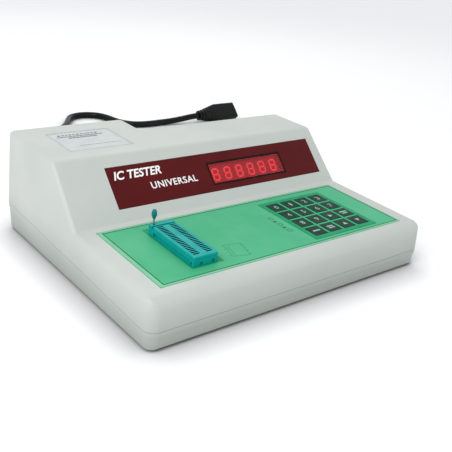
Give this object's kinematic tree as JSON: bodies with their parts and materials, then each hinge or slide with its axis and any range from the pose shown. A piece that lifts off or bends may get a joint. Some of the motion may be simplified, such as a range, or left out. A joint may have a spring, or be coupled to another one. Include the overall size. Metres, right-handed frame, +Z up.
{
  "type": "component tester",
  "caption": "Bench tester for integrated circuits: wedge-shaped console with a lever socket and keypad on the deck, a sloped display face and a trailing mains lead.",
  "frame": {"origin": "on the table plane, under the middle of the case's width and depth, lead left out", "axes": "+X to the right as the operator faces the keypad, +Y to the back, +Z up"},
  "size_m": [0.449, 0.5613, 0.0911],
  "materials": {
    "case": "fine satin texture",
    "display_panel": "printed sheet, satin",
    "display_filter": "clear tinted, polished",
    "digits": "lit segments",
    "circuit_board": "lacquered laminate",
    "deck_overlay": "printed sheet, satin",
    "keypad_frame": "printed, satin",
    "keys": "satin",
    "steel": "bright",
    "socket": "moulded, satin",
    "rating_label": "printed foil",
    "black_plastic": "satin",
    "capacitor_sleeve": "shrunk sleeve",
    "aluminium": "dull",
    "core_steel": "varnished laminations",
    "coil_tape": "polyester tape",
    "foot_rubber": "matt",
    "cord_sheath": "smooth sheath, satin"
  },
  "bodies": {
    "case": {"upper_case": "case", "lower_case": "case", "display_panel": "display_panel", "display_filter": "display_filter", "display_board": "circuit_board", "deck_overlay": "deck_overlay", "keypad_frame": "keypad_frame", "dome_sheet": "steel", "front_board": "circuit_board", "socket_base": "socket", "rating_label": "rating_label", "main_board": "circuit_board", "microcontroller": "black_plastic", "memory_chip": "black_plastic", "filter_capacitor": "capacitor_sleeve", "heatsink": "aluminium", "regulator": "black_plastic", "transformer_core": "core_steel", "transformer_coil": "coil_tape", "fuse_holder": "black_plastic", "switch_body": "black_plastic", "cord_gland": "black_plastic", "power_cord": "cord_sheath", "cord_connector": "cord_sheath", "display_digit_0": "digits", "display_digit_1": "digits", "display_digit_2": "digits", "display_digit_3": "digits", "display_digit_4": "digits", "display_digit_5": "digits", "foot_0": "foot_rubber", "case_screw_0": "steel", "foot_1": "foot_rubber", "case_screw_1": "steel", "foot_2": "foot_rubber", "case_screw_2": "steel", "foot_3": "foot_rubber", "case_screw_3": "steel"},
    "socket_slider": {"socket_slider": "socket"},
    "socket_lever": {"socket_lever": "steel", "lever_knob": "socket"},
    "switch_rocker": {"switch_rocker": "black_plastic"},
    "key_0": {"key_0": "keys"},
    "key_1": {"key_1": "keys"},
    "key_2": {"key_2": "keys"},
    "key_3": {"key_3": "keys"},
    "key_4": {"key_4": "keys"},
    "key_5": {"key_5": "keys"},
    "key_6": {"key_6": "keys"},
    "key_7": {"key_7": "keys"},
    "key_8": {"key_8": "keys"},
    "key_9": {"key_9": "keys"},
    "key_10": {"key_10": "keys"},
    "key_11": {"key_11": "keys"},
    "key_12": {"key_12": "keys"},
    "key_13": {"key_13": "keys"},
    "key_14": {"key_14": "keys"},
    "key_15": {"key_15": "keys"}
  },
  "joints": [
    {"name": "lever_swing", "type": "hinge", "parent": "case", "child": "socket_lever", "pos_m": [-0.088, -0.03655, 0.04851], "axis": [-1, 0, 0], "range_deg": [0, 90]},
    {"name": "socket_slide", "type": "slide", "parent": "case", "child": "socket_slider", "axis": [0, 0.9993, 0.0384], "range_m": [0, 0.00128]},
    {"name": "rocker_tip", "type": "hinge", "parent": "case", "child": "switch_rocker", "pos_m": [-0.106, 0.1207, 0.056], "axis": [-1, 0, 0], "range_deg": [0, 16]},
    {"name": "key_0_press", "type": "slide", "parent": "case", "child": "key_0", "axis": [0, 0.0384, -0.9993], "range_m": [0, 0.0005], "stiffness_N_per_m": 900},
    {"name": "key_1_press", "type": "slide", "parent": "case", "child": "key_1", "axis": [0, 0.0384, -0.9993], "range_m": [0, 0.0005], "stiffness_N_per_m": 900},
    {"name": "key_2_press", "type": "slide", "parent": "case", "child": "key_2", "axis": [0, 0.0384, -0.9993], "range_m": [0, 0.0005], "stiffness_N_per_m": 900},
    {"name": "key_3_press", "type": "slide", "parent": "case", "child": "key_3", "axis": [0, 0.0384, -0.9993], "range_m": [0, 0.0005], "stiffness_N_per_m": 900},
    {"name": "key_4_press", "type": "slide", "parent": "case", "child": "key_4", "axis": [0, 0.0384, -0.9993], "range_m": [0, 0.0005], "stiffness_N_per_m": 900},
    {"name": "key_5_press", "type": "slide", "parent": "case", "child": "key_5", "axis": [0, 0.0384, -0.9993], "range_m": [0, 0.0005], "stiffness_N_per_m": 900},
    {"name": "key_6_press", "type": "slide", "parent": "case", "child": "key_6", "axis": [0, 0.0384, -0.9993], "range_m": [0, 0.0005], "stiffness_N_per_m": 900},
    {"name": "key_7_press", "type": "slide", "parent": "case", "child": "key_7", "axis": [0, 0.0384, -0.9993], "range_m": [0, 0.0005], "stiffness_N_per_m": 900},
    {"name": "key_8_press", "type": "slide", "parent": "case", "child": "key_8", "axis": [0, 0.0384, -0.9993], "range_m": [0, 0.0005], "stiffness_N_per_m": 900},
    {"name": "key_9_press", "type": "slide", "parent": "case", "child": "key_9", "axis": [0, 0.0384, -0.9993], "range_m": [0, 0.0005], "stiffness_N_per_m": 900},
    {"name": "key_10_press", "type": "slide", "parent": "case", "child": "key_10", "axis": [0, 0.0384, -0.9993], "range_m": [0, 0.0005], "stiffness_N_per_m": 900},
    {"name": "key_11_press", "type": "slide", "parent": "case", "child": "key_11", "axis": [0, 0.0384, -0.9993], "range_m": [0, 0.0005], "stiffness_N_per_m": 900},
    {"name": "key_12_press", "type": "slide", "parent": "case", "child": "key_12", "axis": [0, 0.0384, -0.9993], "range_m": [0, 0.0005], "stiffness_N_per_m": 900},
    {"name": "key_13_press", "type": "slide", "parent": "case", "child": "key_13", "axis": [0, 0.0384, -0.9993], "range_m": [0, 0.0005], "stiffness_N_per_m": 900},
    {"name": "key_14_press", "type": "slide", "parent": "case", "child": "key_14", "axis": [0, 0.0384, -0.9993], "range_m": [0, 0.0005], "stiffness_N_per_m": 900},
    {"name": "key_15_press", "type": "slide", "parent": "case", "child": "key_15", "axis": [0, 0.0384, -0.9993], "range_m": [0, 0.0005], "stiffness_N_per_m": 900}
  ],
  "couplings": [
    {"joint": "lever_swing", "follows": "socket_slide", "rad_per_m": 1219}
  ]
}
